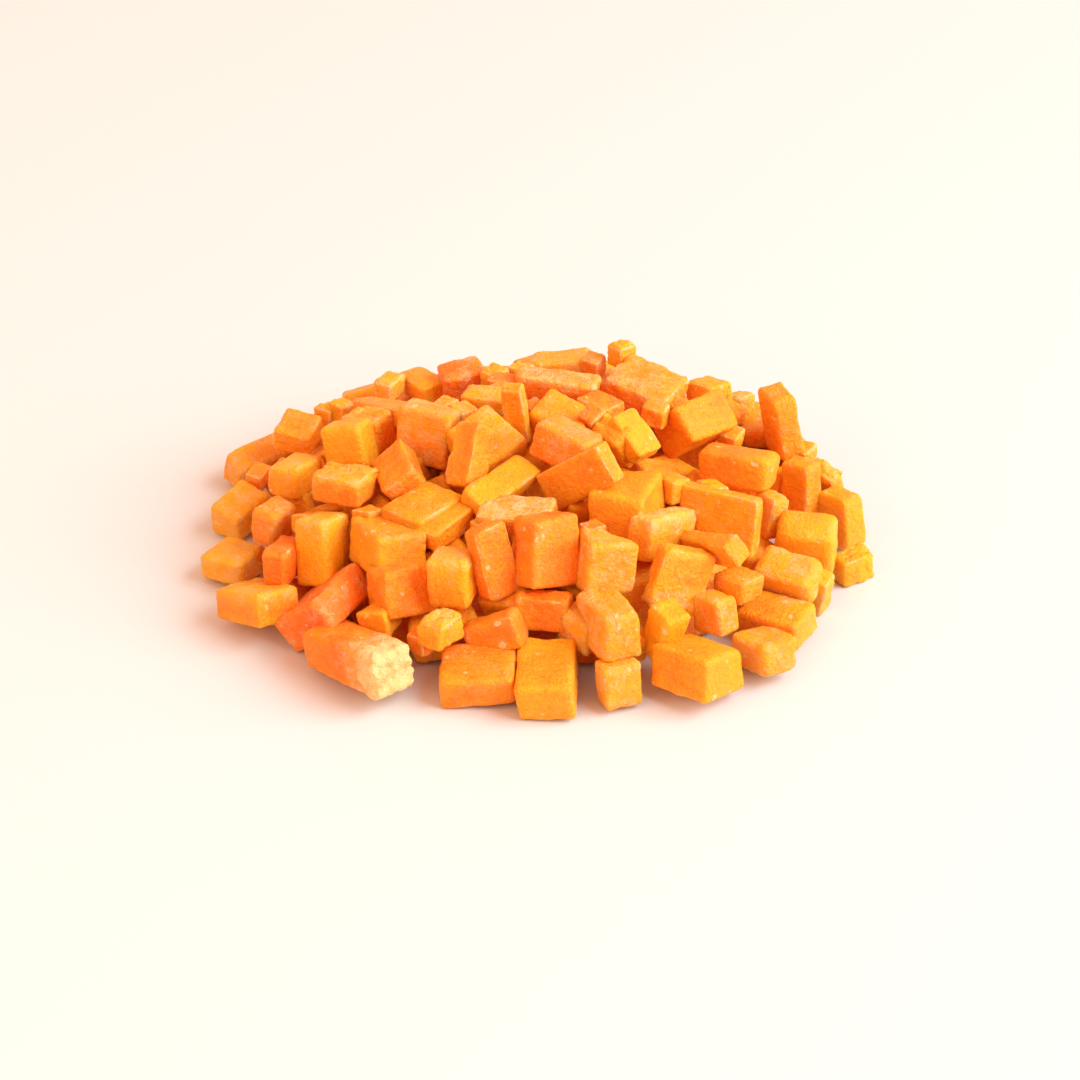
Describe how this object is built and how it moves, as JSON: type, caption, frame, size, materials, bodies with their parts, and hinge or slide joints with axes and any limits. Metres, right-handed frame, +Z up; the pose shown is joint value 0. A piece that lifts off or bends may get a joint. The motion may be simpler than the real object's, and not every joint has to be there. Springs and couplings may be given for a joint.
{
  "type": "diced butternut squash",
  "caption": "Low loose heap of frozen diced butternut squash, lying as poured, with a flat underside to rest on.",
  "frame": {"origin": "middle of the heap's outline, on its flat underside", "axes": "+X along the heap's longest way, to the right in the picture; +Y away from the pictured side; +Z up"},
  "size_m": [0.1824, 0.1624, 0.0486],
  "materials": {
    "squash_flesh": "frosted orange squash flesh, damp and slightly translucent"
  },
  "bodies": {
    "root": {"diced_squash": "squash_flesh"}
  },
  "joints": []
}
